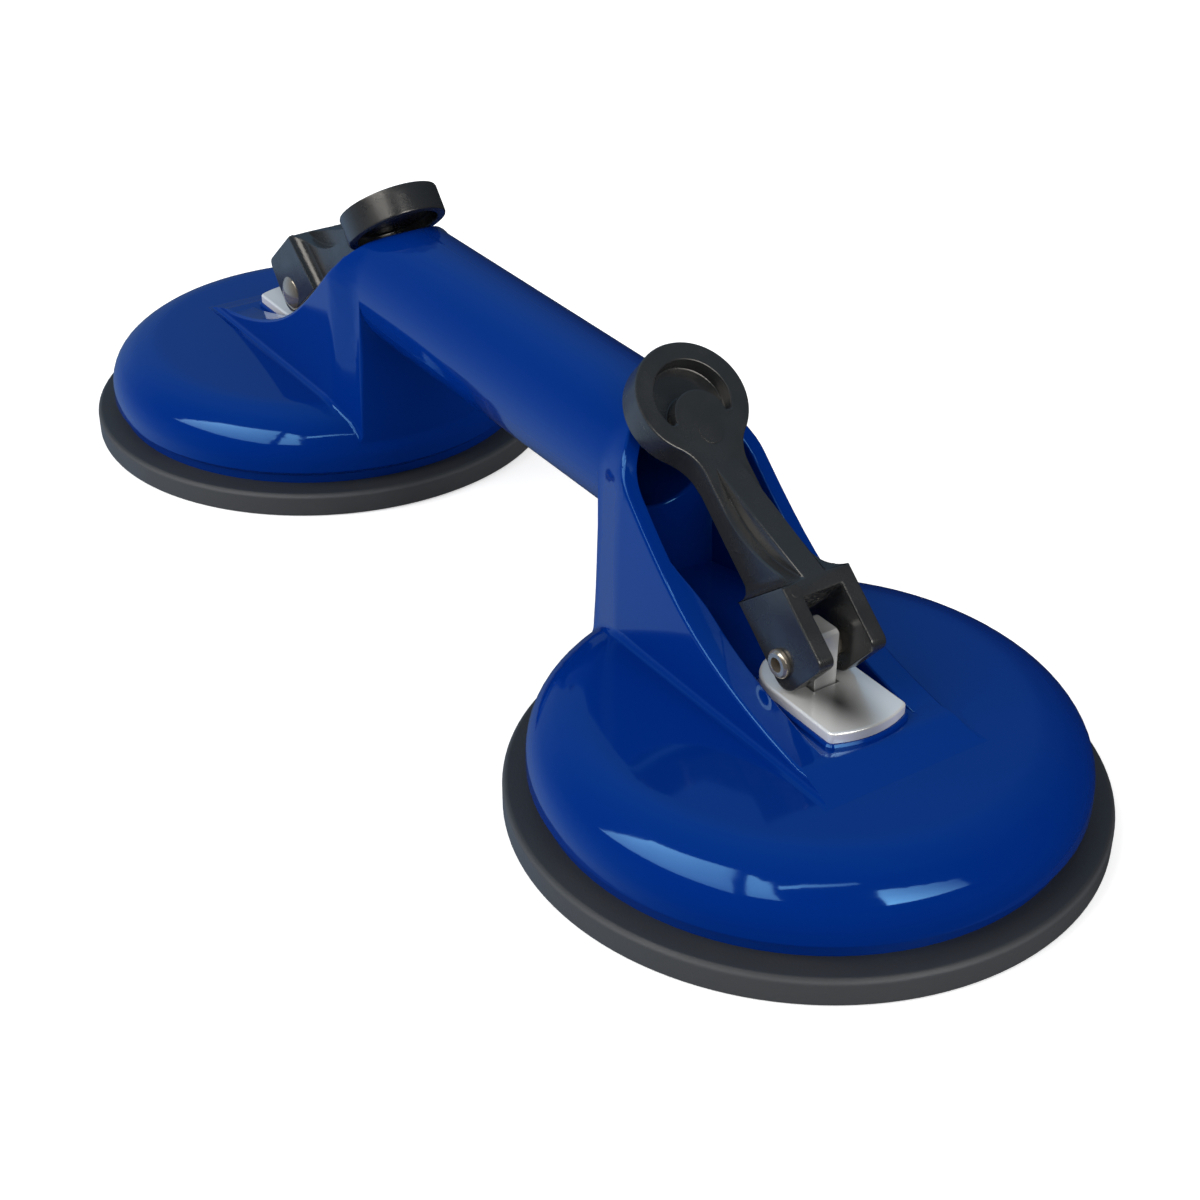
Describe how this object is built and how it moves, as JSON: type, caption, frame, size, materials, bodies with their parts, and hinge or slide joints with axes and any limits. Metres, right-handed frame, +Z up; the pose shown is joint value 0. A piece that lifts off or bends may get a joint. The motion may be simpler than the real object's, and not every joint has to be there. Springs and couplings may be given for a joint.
{
  "type": "twin-cup suction lifter",
  "caption": "Floor tile suction lifter: a blue cast handle with rubber suction cups at its ends, each drawn up by a black cam lever on a steel pivot.",
  "frame": {"origin": "midway between the cups, on the surface the rubber pads stand on", "axes": "+X along the handle from the rear cup to the front cup, +Z up"},
  "size_m": [0.325, 0.12, 0.079],
  "materials": {
    "painted_casting": "gloss",
    "pad_rubber": "matte",
    "lever_nylon": "fine grained",
    "zinc_steel": "zinc plated",
    "rivet_steel": "nickel plated",
    "spring_wire": "bright drawn"
  },
  "bodies": {
    "handle": {"handle_body": "painted_casting", "rubber_pad_front": "pad_rubber", "wear_plate_front": "zinc_steel", "return_spring_front": "spring_wire", "rubber_pad_rear": "pad_rubber", "wear_plate_rear": "zinc_steel", "return_spring_rear": "spring_wire"},
    "stud_front": {"draw_stud_front": "zinc_steel", "insert_plate_front": "zinc_steel"},
    "lever_front": {"cam_lever_front": "lever_nylon", "pivot_rivet_front": "rivet_steel"},
    "stud_rear": {"draw_stud_rear": "zinc_steel", "insert_plate_rear": "zinc_steel"},
    "lever_rear": {"cam_lever_rear": "lever_nylon", "pivot_rivet_rear": "rivet_steel"}
  },
  "joints": [
    {"name": "draw_front", "type": "slide", "parent": "handle", "child": "stud_front", "axis": [0, 0, 1], "range_m": [0, 0.0081], "deforming": ["return_spring_front"]},
    {"name": "lever_front_turn", "type": "hinge", "parent": "stud_front", "child": "lever_front", "pos_m": [0.1025, 0, 0.0348], "axis": [0, 1, 0], "range_deg": [0, 139.5]},
    {"name": "draw_rear", "type": "slide", "parent": "handle", "child": "stud_rear", "axis": [0, 0, 1], "range_m": [0, 0.0081], "deforming": ["return_spring_rear"]},
    {"name": "lever_rear_turn", "type": "hinge", "parent": "stud_rear", "child": "lever_rear", "pos_m": [-0.1025, 0, 0.0348], "axis": [0, -1, 0], "range_deg": [0, 139.5]}
  ],
  "couplings": [
    {"joint": "lever_front_turn", "follows": "draw_front", "rad_per_m": 300.58},
    {"joint": "lever_rear_turn", "follows": "draw_rear", "rad_per_m": 300.58}
  ]
}
